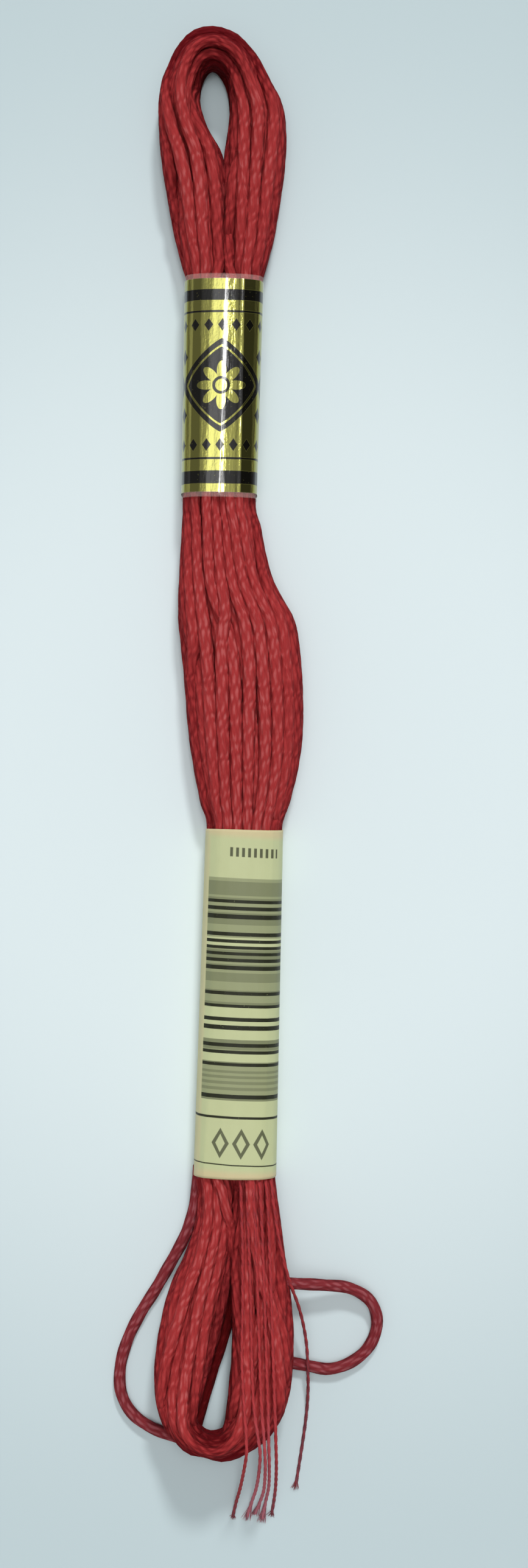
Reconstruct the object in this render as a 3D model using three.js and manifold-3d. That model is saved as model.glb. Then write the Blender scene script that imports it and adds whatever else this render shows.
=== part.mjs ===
// A pull skein of six-strand embroidery cotton: one thread wound into a long flat hank with a
// loop at each end, held by two paper bands. One turn has slipped out of the lower loop, and the
// thread's free end lies over that loop, opened into its six strands.
// Millimetres. The hank lies on z = 0 with its length along Y and its lower loop at -Y.
import * as THREE from 'three';
import { mergeVertices } from 'three/addons/utils/BufferGeometryUtils.js';
import Module from 'manifold-3d';

const wasm = await Module();
wasm.setup();

// Driving sizes
const threadDiameter = 1.4; // the whole thread where it lies free
const strandDiameter = 0.42; // one of its six strands
const bandWall = 0.6;
const threadRest = threadDiameter / 2 + 0.02; // height of the free thread's middle on the surface
const strandRest = strandDiameter / 2 + 0.04;
const origin = { x: 4.06, y: -4.95 }; // added to every plan position: the middle of the hank is at 0, 0

// How a bundle of threads is rounded
const squareness = 2.3; // exponent of the section's rounding: 2 is an ellipse
const fullness = 0.58; // half height of that rounding, as a share of the height: the rest is flat
const grooveDepth = 0.1; // of the dips between runs of thread, as a share of the half section
const grooveTurn = Math.PI / 3; // turns the dips round the section, clear of its two edges

// How finely each piece is divided
const trunkRuns = 12; // runs of thread around the trunk's section
const loopRuns = 9; // and around a loop's
const pointsPerRun = 3; // two on its crest and one in the dip
const rowSteps = 2; // steps from one row of a table to the next
const bandPoints = 36;
const cutOverrun = 1; // how far a band's inside is cut past its ends
const sidesOfTube = 8;
const turnSteps = 30;
const strandSteps = 14;

// Tables: one row for each cross-section, which spans from its left edge to its right edge, seen
// by someone who walks along the bundle, and stands from low to high.
const columns = ['leftX', 'leftY', 'rightX', 'rightY', 'low', 'high'];
const table = (rows) => rows.map((row) => Object.fromEntries(columns.map((name, i) => [name, row[i]])));

const upperBand = table([
  [-9.5, 32.6, -0.8, 32.6, 0, 6.5],
  [-9.1, 57.9, 0.0, 57.9, 0, 6.6],
]);

const lowerBand = table([
  [-8.1, -44.9, 1.4, -44.9, 0, 6.4],
  [-6.7, -5.2, 2.2, -5.2, 0, 6.5],
]);

// The middle of the hank, from inside the lower band to inside the upper one, with its belly
const trunk = table([
  [-7.0, -40.0, 0.55, -40.0, 0.9, 5.45],
  [-6.4, -22.0, 0.9, -22.0, 0.9, 5.5],
  [-5.8, -4.8, 1.25, -4.8, 0.9, 5.6],
  [-6.8, -3.6, 2.3, -3.6, 0.2, 6.2],
  [-7.3, -1.8, 3.0, -1.8, 0, 6.5],
  [-8.05, 1.8, 3.9, 1.8, 0, 6.8],
  [-8.7, 6.3, 4.45, 6.3, 0, 7.1],
  [-9.2, 12.6, 4.35, 12.6, 0, 7.2],
  [-9.8, 18.0, 3.75, 18.0, 0, 7.2],
  [-9.9, 20.0, 2.75, 20.0, 0, 7.2],
  [-9.75, 23.3, 1.0, 23.3, 0, 7.0],
  [-9.5, 26.9, 0.1, 26.9, 0, 6.8],
  [-9.1, 30.4, -0.5, 30.4, 0.2, 6.3],
  [-8.55, 32.25, -1.75, 32.25, 0.9, 5.55],
  [-8.4, 44.0, -1.4, 44.0, 0.9, 5.6],
  [-8.2, 54.0, -1.05, 54.0, 0.9, 5.65],
]);

// The upper loop, from inside the band up its left leg, round the top and down its right leg
const upperLoop = table([
  [-8.1, 46.0, -4.95, 46.0, 1.0, 5.2],
  [-8.0, 58.3, -4.7, 58.3, 0.9, 5.3],
  [-9.45, 59.8, -4.6, 59.7, 0.2, 6.1],
  [-10.4, 63.4, -4.55, 63.4, 0, 6.5],
  [-11.15, 67.5, -4.6, 68.0, 0, 6.8],
  [-11.8, 71.6, -5.2, 72.2, 0, 7.0],
  [-12.1, 75.5, -6.8, 75.2, 0, 7.2],
  [-12.0, 79.3, -7.35, 78.3, 0, 7.4],
  [-10.9, 82.8, -7.1, 80.8, 0, 7.5],
  [-9.0, 85.6, -6.45, 82.2, 0, 7.6],
  [-6.2, 86.7, -5.6, 82.6, 0, 7.6],
  [-3.1, 85.8, -4.75, 82.1, 0, 7.6],
  [-0.7, 83.3, -4.15, 80.8, 0, 7.4],
  [0.85, 80.5, -3.95, 79.0, 0, 7.2],
  [2.25, 77.6, -3.95, 77.0, 0, 7.0],
  [2.6, 74.2, -4.1, 74.2, 0, 6.8],
  [2.4, 70.5, -4.3, 70.9, 0, 6.6],
  [1.8, 66.3, -4.35, 66.5, 0, 6.5],
  [1.2, 62.8, -4.4, 62.9, 0, 6.4],
  [0.4, 59.8, -4.45, 59.7, 0.2, 6.1],
  [-1.15, 58.3, -4.6, 58.3, 0.9, 5.3],
  [-1.55, 46.0, -4.8, 46.0, 1.0, 5.2],
]);

// The lower loop, from inside the band down its right leg, round the end and up its left leg. Its
// end is lifted, because the slipped turn runs under it.
const lowerLoop = table([
  [0.5, -33.0, -2.8, -33.0, 1.0, 5.1],
  [0.25, -45.3, -3.2, -45.3, 0.9, 5.15],
  [1.35, -47.0, -3.25, -46.9, 0.4, 5.75],
  [1.9, -50.3, -3.3, -50.5, 0.1, 6.4],
  [2.4, -53.8, -3.35, -54.5, 0.4, 6.7],
  [3.0, -57.8, -3.4, -58.5, 1.0, 7.1],
  [3.4, -62.2, -3.55, -62.5, 1.7, 7.7],
  [3.35, -66.2, -3.8, -66.0, 2.05, 8.4],
  [2.85, -69.8, -4.1, -69.0, 2.3, 9.2],
  [1.4, -73.2, -4.4, -71.8, 2.45, 9.8],
  [-1.4, -75.6, -4.8, -73.3, 2.5, 10.2],
  [-5.2, -76.8, -5.6, -73.9, 2.5, 10.3],
  [-8.6, -75.8, -6.5, -73.5, 2.5, 10.2],
  [-11.2, -73.6, -6.9, -72.3, 2.45, 9.7],
  [-12.4, -70.0, -5.9, -69.8, 2.3, 8.9],
  [-12.5, -66.0, -4.9, -66.3, 2.05, 8.0],
  [-11.9, -61.8, -4.1, -62.5, 1.6, 7.3],
  [-10.8, -57.6, -3.65, -58.5, 1.0, 6.8],
  [-9.0, -54.0, -3.55, -54.5, 0.4, 6.5],
  [-7.3, -50.3, -3.5, -50.5, 0.1, 6.2],
  [-6.8, -46.8, -3.4, -46.7, 0.4, 5.8],
  [-6.6, -45.3, -3.35, -45.3, 0.9, 5.15],
  [-6.55, -33.0, -2.95, -33.0, 1.0, 5.1],
]);

// The slipped turn: out of the lower band on the left, down to the surface, under the lifted end
// of the loop, round on the right and back to the loop's right leg
const looseTurnRoute = [
  [-7.6, -45.33, 2.6], [-7.8, -47.4, 2.3], [-8.3, -49.9, 1.9], [-9.3, -52.6, 1.5],
  [-10.9, -55.6, 1.1], [-12.6, -58.6, 0.8], [-14.4, -61.5, threadRest], [-15.8, -64.4, threadRest],
  [-16.6, -67.3, threadRest], [-16.6, -70.3, threadRest], [-15.4, -72.8, threadRest],
  [-13.2, -74.5, threadRest], [-10.7, -75.5, threadRest], [-8.2, -76.2, threadRest],
  [-5.5, -76.3, threadRest], [-3.1, -75.3, threadRest], [-1.7, -73.1, threadRest],
  [-0.9, -70.5, threadRest], [0.3, -68.2, threadRest], [2.4, -67.1, threadRest],
  [4.9, -67.4, threadRest], [7.5, -67.8, threadRest], [10.1, -67.0, 0.75], [12.2, -65.1, 0.85],
  [13.1, -62.4, 1.0], [12.3, -59.8, 1.3], [9.9, -58.2, 1.8], [7.0, -57.7, 2.5], [4.2, -57.4, 3.2],
];

// The free end's six strands, from the lower band over the right leg and the loop's end to the
// surface; the last one leaves by the leg's flank and crosses the slipped turn
const strandRoutes = [
  [
    [-2.7, -45.3, 5.4], [-2.6, -46.9, 5.95], [-2.5, -50.0, 6.2], [-2.4, -52.5, 6.5],
    [-2.4, -55.0, 6.65], [-2.4, -58.0, 6.9], [-2.45, -61.0, 7.3], [-2.5, -64.0, 7.8],
    [-2.4, -67.0, 8.7], [-2.2, -70.0, 9.75], [-2.0, -72.5, 10.47], [-1.95, -74.6, 10.78],
    [-2.2, -76.8, 9.1], [-2.7, -80.2, 5.2], [-3.2, -82.8, 2.1], [-3.6, -85.0, strandRest],
  ],
  [
    [-1.98, -45.3, 5.7], [-1.9, -46.9, 6.2], [-1.8, -50.0, 6.5], [-1.7, -52.5, 6.7],
    [-1.6, -55.0, 6.9], [-1.5, -58.0, 7.2], [-1.45, -61.0, 7.6], [-1.4, -64.0, 8.15],
    [-1.3, -67.0, 8.9], [-1.1, -70.0, 9.9], [-0.75, -72.5, 10.3], [-0.45, -74.6, 10.0],
    [-0.5, -76.8, 8.8], [-0.85, -80.2, 5.0], [-1.4, -82.8, 2.0], [-2.0, -85.2, strandRest],
  ],
  [
    [-1.26, -45.3, 5.75], [-1.15, -46.9, 6.5], [-1.0, -50.0, 6.8], [-0.9, -52.5, 7.05],
    [-0.8, -55.0, 7.25], [-0.7, -58.0, 7.5], [-0.6, -61.0, 7.9], [-0.5, -64.0, 8.45],
    [-0.4, -67.0, 9.2], [-0.25, -70.0, 10.15], [-0.05, -72.5, 10.6], [0.1, -74.6, 10.55],
    [0.15, -76.8, 9.6], [0.0, -80.2, 5.7], [-0.5, -82.8, 2.4], [-1.1, -84.8, strandRest],
  ],
  [
    [-0.54, -45.33, 5.55], [-0.4, -46.9, 6.6], [-0.25, -50.0, 6.85], [-0.15, -52.5, 7.05],
    [-0.05, -55.0, 7.25], [0.05, -58.0, 7.55], [0.15, -61.0, 7.95], [0.25, -64.0, 8.45],
    [0.35, -67.0, 9.1], [0.45, -70.0, 9.7], [0.5, -72.5, 9.75], [0.55, -74.6, 9.45],
    [0.6, -76.8, 8.4], [0.55, -80.2, 4.7], [0.2, -82.8, 1.9], [-0.2, -85.4, strandRest],
  ],
  [
    [0.18, -45.33, 5.15], [0.35, -46.9, 6.15], [0.5, -50.0, 6.4], [0.6, -52.5, 6.8],
    [0.7, -55.0, 7.1], [0.8, -58.0, 7.5], [0.9, -61.0, 7.9], [1.0, -64.0, 8.4],
    [1.1, -67.0, 8.85], [1.2, -70.0, 9.3], [1.3, -72.5, 9.2], [1.35, -74.6, 8.6],
    [1.4, -76.8, 7.3], [1.35, -80.2, 4.1], [1.15, -82.8, 1.6], [0.9, -84.7, strandRest],
  ],
  [
    [0.8, -45.3, 4.75], [1.0, -47.2, 5.85], [1.4, -50.0, 6.0], [1.85, -52.5, 6.05],
    [2.4, -54.8, 5.95], [3.1, -57.2, 5.2], [3.9, -59.6, 4.2], [4.5, -62.0, 3.3],
    [4.9, -64.6, 2.5], [5.05, -67.3, 2.0], [5.1, -69.8, 1.2], [5.0, -72.3, 0.45],
    [4.75, -74.6, strandRest], [4.4, -77.0, strandRest], [4.05, -79.2, strandRest],
    [3.7, -81.4, strandRest],
  ],
];

// Rows between the rows of a table, on smooth curves through their edges
function smoothRows(rows, steps) {
  const curve = (point) => new THREE.CatmullRomCurve3(rows.map((r) => new THREE.Vector3(...point(r))));
  const leftEdge = curve((r) => [r.leftX, r.leftY, r.low]);
  const rightEdge = curve((r) => [r.rightX, r.rightY, r.high]);
  const count = (rows.length - 1) * steps;
  return Array.from({ length: count + 1 }, (_, i) => {
    const left = leftEdge.getPoint(i / count);
    const right = rightEdge.getPoint(i / count);
    const low = Math.max(0, left.z);
    return { leftX: left.x, leftY: left.y, rightX: right.x, rightY: right.y, low, high: right.z };
  });
}

// A band's rows drawn in by a distance on its sides, underside and top, and longer at both ends
function drawnIn(rows, distance, longer) {
  return rows.map((row, i) => {
    const other = rows[1 - i];
    const outward = Math.sign(row.leftY - other.leftY) * longer;
    const slope = (side) => (row[side] - other[side]) / (row.leftY - other.leftY);
    return {
      leftX: row.leftX + distance + slope('leftX') * outward,
      leftY: row.leftY + outward,
      rightX: row.rightX - distance + slope('rightX') * outward,
      rightY: row.rightY + outward,
      low: row.low + distance,
      high: row.high - distance,
    };
  });
}

// One section's ring of points: rounded between its edges, flat underneath, dipping between runs
function sectionRing(row, runs, points) {
  const halfHeight = (row.high - row.low) * fullness;
  const middle = row.high - halfHeight;
  const round = (value) => Math.sign(value) * Math.abs(value) ** (2 / squareness);
  return Array.from({ length: points }, (_, i) => {
    const angle = (2 * Math.PI * i) / points;
    const crest = runs ? Math.abs(Math.sin((runs * angle) / 2 + grooveTurn)) : 1;
    const dip = 1 - grooveDepth * (1 - crest);
    const across = (1 - round(Math.cos(angle)) * dip) / 2;
    return [
      row.leftX + (row.rightX - row.leftX) * across + origin.x,
      row.leftY + (row.rightY - row.leftY) * across + origin.y,
      Math.max(row.low, middle + halfHeight * round(Math.sin(angle)) * dip),
    ];
  });
}

// A closed solid through the rows' rings, with a fan of faces at each end
function loft(rows, runs, points = runs * pointsPerRun) {
  const rings = rows.map((row) => sectionRing(row, runs, points));
  const centre = (ring) => [0, 1, 2].map((k) => ring.reduce((sum, p) => sum + p[k], 0) / ring.length);
  const positions = [...rings.flat(), centre(rings[0]), centre(rings.at(-1))].flat();
  const firstCentre = rings.length * points;
  const faces = [];
  for (let i = 0; i < points; i++) {
    const next = (i + 1) % points;
    for (let row = 0; row < rings.length - 1; row++) {
      const low = row * points;
      const high = low + points;
      faces.push(low + i, low + next, high + i, low + next, high + next, high + i);
    }
    const last = (rings.length - 1) * points;
    faces.push(firstCentre, next, i, firstCentre + 1, last + i, last + next);
  }
  const geometry = new THREE.BufferGeometry();
  geometry.setAttribute('position', new THREE.Float32BufferAttribute(positions, 3));
  geometry.setIndex(faces);
  return geometry;
}

// A tube of one diameter along a route
function tube(route, diameter, steps) {
  const points = route.map(([x, y, z]) => new THREE.Vector3(x + origin.x, y + origin.y, z));
  const section = new THREE.Shape();
  section.absarc(0, 0, diameter / 2, 0, 2 * Math.PI);
  return new THREE.ExtrudeGeometry(section, {
    steps,
    curveSegments: sidesOfTube / 2, // three divides a full circle into twice this number
    bevelEnabled: false,
    extrudePath: new THREE.CatmullRomCurve3(points),
  });
}

// Joins and cuts
function toSolid(geometry) {
  const bare = geometry.clone();
  bare.deleteAttribute('normal');
  bare.deleteAttribute('uv');
  const merged = mergeVertices(bare);
  return new wasm.Manifold(
    new wasm.Mesh({
      numProp: 3,
      vertProperties: new Float32Array(merged.attributes.position.array),
      triVerts: new Uint32Array(merged.index.array),
    }),
  );
}

function toGeometry(solid) {
  const mesh = solid.getMesh();
  const geometry = new THREE.BufferGeometry();
  geometry.setAttribute('position', new THREE.BufferAttribute(mesh.vertProperties, 3));
  geometry.setIndex(new THREE.BufferAttribute(mesh.triVerts, 1));
  geometry.computeVertexNormals();
  return geometry;
}

// Pieces
function skeinGeometry() {
  const middle = toSolid(loft(smoothRows(trunk, rowSteps), trunkRuns));
  const top = toSolid(loft(smoothRows(upperLoop, rowSteps), loopRuns));
  const bottom = toSolid(loft(smoothRows(lowerLoop, rowSteps), loopRuns));
  return toGeometry(middle.add(top).add(bottom));
}

function bandGeometry(rows) {
  const outside = toSolid(loft(rows, 0, bandPoints));
  const inside = toSolid(loft(drawnIn(rows, bandWall, cutOverrun), 0, bandPoints));
  return toGeometry(outside.subtract(inside));
}

const cotton = () => new THREE.MeshStandardMaterial({ color: 0x9c3234, roughness: 0.75, metalness: 0 });
const foil = () => new THREE.MeshStandardMaterial({ color: 0xb0a568, roughness: 0.3, metalness: 0.8 });
const paper = () => new THREE.MeshStandardMaterial({ color: 0xc6c898, roughness: 0.6, metalness: 0 });

const skein = new THREE.Group();

function addPiece(name, geometry, material) {
  const mesh = new THREE.Mesh(geometry, material);
  mesh.name = name;
  skein.add(mesh);
}

addPiece('skein', skeinGeometry(), cotton());
addPiece('upper_band', bandGeometry(upperBand), foil());
addPiece('lower_band', bandGeometry(lowerBand), paper());
addPiece('loose_turn', tube(looseTurnRoute, threadDiameter, turnSteps), cotton());
strandRoutes.forEach((route, i) => {
  addPiece(`strand_${i + 1}`, tube(route, strandDiameter, strandSteps), cotton());
});

export default skein;
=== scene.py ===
import math

import bpy
import numpy as np
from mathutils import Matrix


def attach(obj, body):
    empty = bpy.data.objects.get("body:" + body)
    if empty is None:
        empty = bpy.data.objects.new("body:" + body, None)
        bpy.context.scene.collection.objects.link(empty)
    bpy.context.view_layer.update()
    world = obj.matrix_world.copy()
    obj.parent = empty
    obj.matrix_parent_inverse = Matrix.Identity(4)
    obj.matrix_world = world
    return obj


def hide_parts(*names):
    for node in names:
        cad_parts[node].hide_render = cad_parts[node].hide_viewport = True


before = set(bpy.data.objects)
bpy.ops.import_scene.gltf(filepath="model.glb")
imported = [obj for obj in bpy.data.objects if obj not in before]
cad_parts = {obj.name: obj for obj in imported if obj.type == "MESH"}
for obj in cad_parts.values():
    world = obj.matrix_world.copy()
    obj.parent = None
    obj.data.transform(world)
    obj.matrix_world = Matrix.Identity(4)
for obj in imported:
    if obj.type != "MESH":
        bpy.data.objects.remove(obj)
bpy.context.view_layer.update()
mm = 0.001
planShift = np.array([4.06, -4.95, 0.0])  # mm, from the hank's own drawing to the frame

viewSettings = {
    "over": (4.06, -4.95),  # mm, the point straight below the camera
    "height": 264,
    "seenAt": 4,  # mm above the table, where the frame's long side takes in seenLength
    "seenLength": 179.5,
    "sensor": 36,
    "nearest": 10,  # mm from the camera at which things begin to show
}


def makeCamera(s):
    # straight down. Its lens is the sensor's length times the distance, over the length it takes in
    data = bpy.data.cameras.new("camera")
    data.sensor_width = s["sensor"]
    data.lens = s["sensor"] * (s["height"] - s["seenAt"]) / s["seenLength"]
    data.clip_start = s["nearest"] * mm
    camera = bpy.data.objects.new("camera", data)
    camera.location = (s["over"][0] * mm, s["over"][1] * mm, s["height"] * mm)
    bpy.context.scene.collection.objects.link(camera)
    bpy.context.scene.camera = camera


makeCamera(viewSettings)
print("camera is set")


def lengthsAlong(path):
    # the length from the path's start to each of its points
    return np.concatenate([[0], np.cumsum(np.linalg.norm(np.diff(path, axis=0), axis=1))])


def curveThrough(points, cuts):
    # Catmull-Rom: a cubic from each point to the next, with the slope at each of the line between its
    # neighbours, in so many cuts. Both ends go on straight. Also gives each place as a point's number
    last = len(points) - 1
    p = np.vstack([2 * points[0] - points[1], points, 2 * points[-1] - points[-2]])
    t = np.linspace(0, last, last * cuts + 1)
    k = np.minimum(t.astype(int), last - 1)
    f = (t - k)[:, None]
    a, b, c, d = p[k], p[k + 1], p[k + 2], p[k + 3]
    fine = 0.5 * (2 * b + (c - a) * f + (2 * a - 5 * b + 4 * c - d) * f**2 + (3 * b - a - 3 * c + d) * f**3)
    return fine, t


curveCuts = 24  # from point to point, before a curve is cut into even steps


def smoothCurve(points, spacing, along=None):
    # A curve through the points in even steps. along picks the columns of the line whose length
    # counts, as a matrix; without it the first three are a place
    fine, _ = curveThrough(np.asarray(points, float), curveCuts)
    length = lengthsAlong(fine[:, :3] if along is None else fine @ along)
    even = np.linspace(0, length[-1], max(2, round(length[-1] / spacing) + 1))
    return np.stack([np.interp(even, length, column) for column in fine.T], axis=1)


def newPiece(name, verts, quads, uv, node, values=None):
    # verts n by 3 in metres, quads m by 4, uv m by 4 by 2, values: named numbers for each vertex
    mesh = bpy.data.meshes.new(name)
    mesh.vertices.add(len(verts))
    mesh.vertices.foreach_set("co", np.asarray(verts, np.float32).ravel())
    mesh.loops.add(quads.size)
    mesh.loops.foreach_set("vertex_index", quads.astype(np.int32).ravel())
    mesh.polygons.add(len(quads))
    mesh.polygons.foreach_set("loop_start", np.arange(len(quads), dtype=np.int32) * 4)
    mesh.polygons.foreach_set("use_smooth", np.ones(len(quads), bool))
    mesh.update(calc_edges=True)
    layer = mesh.uv_layers.new(name="lay")
    layer.data.foreach_set("uv", np.asarray(uv, np.float32).ravel())
    for key, numbers in (values or {}).items():
        mesh.attributes.new(key, "FLOAT", "POINT").data.foreach_set("value", numbers.astype(np.float32))
    mesh.validate()
    piece = bpy.data.objects.new(name, mesh)
    bpy.context.scene.collection.objects.link(piece)
    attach(piece, "root")
    if node:
        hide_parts(node)
    return piece


def gridQuads(rows, columns, across):
    # Quads between the points of a grid, so many across: one less than its columns, or as many where
    # it closes on itself. Also gives the rows and the columns of each quad's corners
    i, j = (n.ravel() for n in np.meshgrid(np.arange(rows - 1), np.arange(across), indexing="ij"))
    row = np.stack([i, i, i + 1, i + 1], axis=1)
    column = np.stack([j, j + 1, j + 1, j], axis=1)
    return row * columns + column % columns, row, column


def threadRings(path, radius, s, start):
    # A thread's rings: a circle drawn in between its lobes, by one less the cosine of the angle from
    # each lobe's crest, and turned steadily about the path as it goes along, from where it had come to
    # at the length start. Lengths in mm
    tangent = np.gradient(path, axis=0)
    tangent /= np.linalg.norm(tangent, axis=1)[:, None]
    side = np.cross(tangent, [0, 0, 1])
    side /= np.maximum(np.linalg.norm(side, axis=1), 1e-6)[:, None]
    up = np.cross(side, tangent)
    length = lengthsAlong(path)
    around = s["lobes"] * s["pointsPerLobe"]
    angle = 2 * np.pi * np.arange(around) / around
    pinch = 1 - s["valley"] * (1 - np.abs(np.cos(angle * s["lobes"] / 2)))
    turned = angle[None, :] + (2 * np.pi * (start + length) / s["twist"])[:, None]
    reach = np.asarray(radius)[..., None] * pinch[None, :]
    points = (path[:, None, :] + side[:, None, :] * (np.cos(turned) * reach)[..., None]
              + up[:, None, :] * (np.sin(turned) * reach)[..., None])
    crest = np.tile((pinch - pinch.min()) / max(np.ptp(pinch), 1e-6), (len(path), 1))
    return points, length, crest, np.sin(turned) * up[:, 2:]


def toFrame(points):
    # from mm in the hank's own drawing to metres in the frame
    return (points + planShift) * mm


pointedTo = 0.02  # share of its radius that a thread keeps at its two ends


def threadMesh(path, radius, s, values, start=0.0):
    # One closed tube: rings along the path, drawn to a point at both ends. Its UV is the share round
    # the thread and the length along it in mm. Its values are how near a place is to a strand's crest,
    # how far it faces up, and those given for each ring
    around = s["lobes"] * s["pointsPerLobe"]
    points, length, crest, top = threadRings(path, radius, s, start)
    for end in (0, -1):
        points[end] = path[end] + pointedTo * (points[end] - path[end])
    quads, row, column = gridQuads(len(path), around, around)
    uv = np.stack([column / around, (length + start)[row]], axis=2)
    named = {key: np.repeat(numbers, around) for key, numbers in values.items()}
    return toFrame(points.reshape(-1, 3)), quads, uv, {"crest": crest.ravel(), "top": top.ravel(), **named}


def threadPiece(name, meshes, node=None):
    # one piece of all the threads, each one's quads counted on from those before it
    starts = np.cumsum([0] + [len(verts) for verts, _, _, _ in meshes[:-1]])
    verts = np.vstack([verts for verts, _, _, _ in meshes])
    quads = np.vstack([quads + start for start, (_, quads, _, _) in zip(starts, meshes)])
    uv = np.vstack([uv for _, _, uv, _ in meshes])
    named = {key: np.concatenate([values[key] for _, _, _, values in meshes]) for key in meshes[0][3]}
    return newPiece(name, verts, quads, uv, node, named)


# the free cords: the slipped turn, and the six strands of the thread's end
threadSettings = {
    "diameter": 1.4,  # mm, the whole thread where it lies free
    "lobes": 6,
    "pointsPerLobe": 4,
    "valley": 0.13,  # share of the radius that the grooves between its strands go in
    "twist": 21.0,  # mm for one turn of the six strands
    "step": 0.5,
    "tuck": (2.0, 2.6),  # mm that its two ends run on, out of sight in the hank
    "paleEnd": 1.0,
    "pale": (0,),
    "shadedBelow": 0.01,  # mm, the height of its underside up to which its colour is painted deeper, as shade
}
strandSettings = {
    "diameter": 0.42,
    "lobes": 2,
    "pointsPerLobe": 5,
    "valley": 0.3,
    "twist": 2.4,
    "step": 0.25,
    "tuck": (1.2, 0),
    "paleEnd": 20.0,  # mm over which its colour pales towards the cut end, and how far for each strand
    "pale": (0.15, 1.0, 1.0, 1.0, 0.2, 0.1),
    # mm, the height up to which a strand's colour is painted deeper, as shade
    "shadedBelow": 7.5,
    "seed": 3,
    "fibres": 24,  # at each cut end
    "rings": 12,
    "fibre": (0.05, 0.6),  # mm, a fibre's radius, and the share of it that is lost by its end
    "back": (1.3, 6.5, 8.0, 7.0, 1.3, 1.6),  # mm before each strand's end from which its fibres part
    "partsAt": (0.5, 1.0),  # the range of the share of that at which each one does
    "past": (0.1, 0.7),  # mm, the range that they reach past it
    "spread": (0.26, 0.42, 0.42, 0.42, 0.26, 0.26),  # mm to each side, for each strand
    "lift": (-0.1, 0.6),  # the range of their rise, as a share of the spread
    "lowest": 0.05,
    "height": 0.4,  # the painted light share, as of full height, that their colour takes
}
fibreSettings = {"lobes": 3, "pointsPerLobe": 2, "valley": 0, "twist": 3.0}
mostLit = 1.1  # how far a strand's painted light follows its height, where 1 is its plain colour
threadRest = 0.72  # mm, height of the free thread's middle on the surface
strandRest = 0.25

looseTurnRoute = [
    (-7.6, -45.33, 2.6), (-7.8, -47.4, 2.3), (-8.3, -49.9, 1.9), (-9.3, -52.6, 1.5),
    (-10.9, -55.6, 1.1), (-12.6, -58.6, 0.8), (-14.4, -61.5, threadRest), (-15.8, -64.4, threadRest),
    (-16.6, -67.3, threadRest), (-16.6, -70.3, threadRest), (-15.4, -72.8, threadRest),
    (-13.2, -74.5, threadRest), (-10.7, -75.5, threadRest), (-8.2, -76.2, threadRest),
    (-5.5, -76.3, threadRest), (-3.1, -75.3, threadRest), (-1.7, -73.1, threadRest),
    (-0.9, -70.5, threadRest), (0.3, -68.2, threadRest), (2.4, -67.1, threadRest),
    (4.9, -67.4, threadRest), (7.5, -67.8, threadRest), (10.1, -67.0, 0.75), (12.2, -65.1, 0.85),
    (13.1, -62.4, 1.0), (12.3, -59.8, 1.3), (9.9, -58.2, 1.8), (7.0, -57.7, 2.5), (4.2, -57.4, 3.2),
]
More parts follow.
